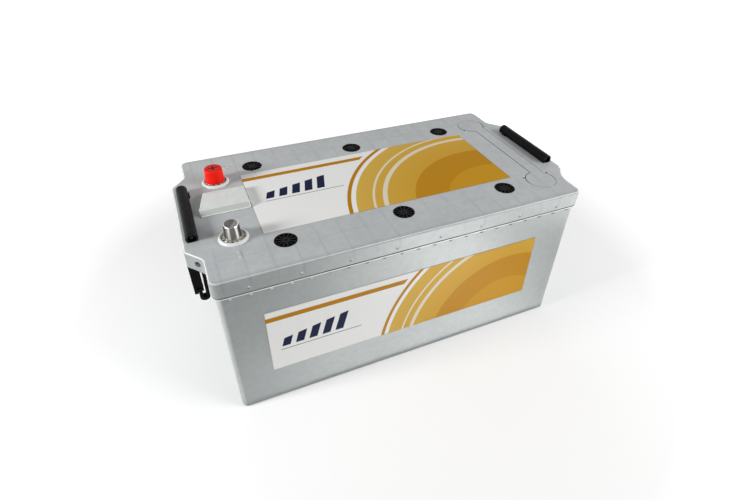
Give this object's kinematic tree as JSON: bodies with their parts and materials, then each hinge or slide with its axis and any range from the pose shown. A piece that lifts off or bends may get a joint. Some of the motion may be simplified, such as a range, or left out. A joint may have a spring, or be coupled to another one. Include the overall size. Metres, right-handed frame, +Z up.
{
  "type": "deep cycle battery",
  "caption": "Long twelve-volt caravan battery with an overhanging lid, tapered lead posts at one end, ribbed flush vent plugs and lift-up tube handles on end ledges.",
  "frame": {"origin": "middle of the base, on the surface it stands on", "axes": "+X along the length, away from the terminals; -Y is the label face; +Z up"},
  "size_m": [0.5204, 0.278, 0.242],
  "materials": {
    "case_plastic": "satin moulded polypropylene",
    "lid_plastic": "satin moulded polypropylene",
    "cover_plastic": "satin moulded polypropylene",
    "lead": "cast and turned lead",
    "collar_plastic": "white moulded plastic",
    "red_plastic": "semi-gloss moulded plastic",
    "porous_disc": "porous",
    "label_foil": "printed film",
    "seal_rubber": "matt",
    "positive_plate": "pasted plate",
    "negative_plate": "pasted plate",
    "glass_mat": "absorbent glass mat",
    "black_plastic": "satin moulded plastic"
  },
  "bodies": {
    "case": {"container": "case_plastic", "lid": "lid_plastic", "positive_terminal": "lead", "negative_terminal": "lead", "positive_riser": "lead", "negative_riser": "lead", "positive_collar": "collar_plastic", "negative_collar": "collar_plastic", "gas_cover": "cover_plastic", "flame_arrestor": "porous_disc", "top_label": "label_foil", "front_label": "label_foil", "plug_o_rings": "seal_rubber", "intercell_welds": "lead", "cell_1_positive": "positive_plate", "cell_1_negative": "negative_plate", "cell_1_separators": "glass_mat", "cell_2_positive": "positive_plate", "cell_2_negative": "negative_plate", "cell_2_separators": "glass_mat", "cell_3_positive": "positive_plate", "cell_3_negative": "negative_plate", "cell_3_separators": "glass_mat", "cell_4_positive": "positive_plate", "cell_4_negative": "negative_plate", "cell_4_separators": "glass_mat", "cell_5_positive": "positive_plate", "cell_5_negative": "negative_plate", "cell_5_separators": "glass_mat", "cell_6_positive": "positive_plate", "cell_6_negative": "negative_plate", "cell_6_separators": "glass_mat"},
    "positive_cap": {"positive_cap": "red_plastic"},
    "left_handle": {"left_grip": "black_plastic", "left_front_leg": "black_plastic", "left_rear_leg": "black_plastic"},
    "right_handle": {"right_grip": "black_plastic", "right_front_leg": "black_plastic", "right_rear_leg": "black_plastic"},
    "plug_1": {"vent_plug_1": "black_plastic", "valve_1": "seal_rubber"},
    "plug_2": {"vent_plug_2": "black_plastic", "valve_2": "seal_rubber"},
    "plug_3": {"vent_plug_3": "black_plastic", "valve_3": "seal_rubber"},
    "plug_4": {"vent_plug_4": "black_plastic", "valve_4": "seal_rubber"},
    "plug_5": {"vent_plug_5": "black_plastic", "valve_5": "seal_rubber"},
    "plug_6": {"vent_plug_6": "black_plastic", "valve_6": "seal_rubber"}
  },
  "joints": [
    {"name": "left_handle_lift", "type": "slide", "parent": "case", "child": "left_handle", "axis": [0, 0, 1], "range_m": [0, 0.0275]},
    {"name": "right_handle_lift", "type": "slide", "parent": "case", "child": "right_handle", "axis": [0, 0, 1], "range_m": [0, 0.0275]},
    {"name": "positive_cap_lift", "type": "slide", "parent": "case", "child": "positive_cap", "axis": [0, 0, 1], "range_m": [0, 0.03]},
    {"name": "vent_plug_1_turn", "type": "hinge", "parent": "case", "child": "plug_1", "pos_m": [-0.1495, -0.092, 0.21], "axis": [0, 0, 1], "range_deg": [0, 90]},
    {"name": "vent_plug_2_turn", "type": "hinge", "parent": "case", "child": "plug_2", "pos_m": [0, -0.092, 0.21], "axis": [0, 0, 1], "range_deg": [0, 90]},
    {"name": "vent_plug_3_turn", "type": "hinge", "parent": "case", "child": "plug_3", "pos_m": [0.1495, -0.092, 0.21], "axis": [0, 0, 1], "range_deg": [0, 90]},
    {"name": "vent_plug_4_turn", "type": "hinge", "parent": "case", "child": "plug_4", "pos_m": [0.1495, 0.092, 0.21], "axis": [0, 0, 1], "range_deg": [0, 90]},
    {"name": "vent_plug_5_turn", "type": "hinge", "parent": "case", "child": "plug_5", "pos_m": [0, 0.092, 0.21], "axis": [0, 0, 1], "range_deg": [0, 90]},
    {"name": "vent_plug_6_turn", "type": "hinge", "parent": "case", "child": "plug_6", "pos_m": [-0.1495, 0.092, 0.21], "axis": [0, 0, 1], "range_deg": [0, 90]}
  ]
}
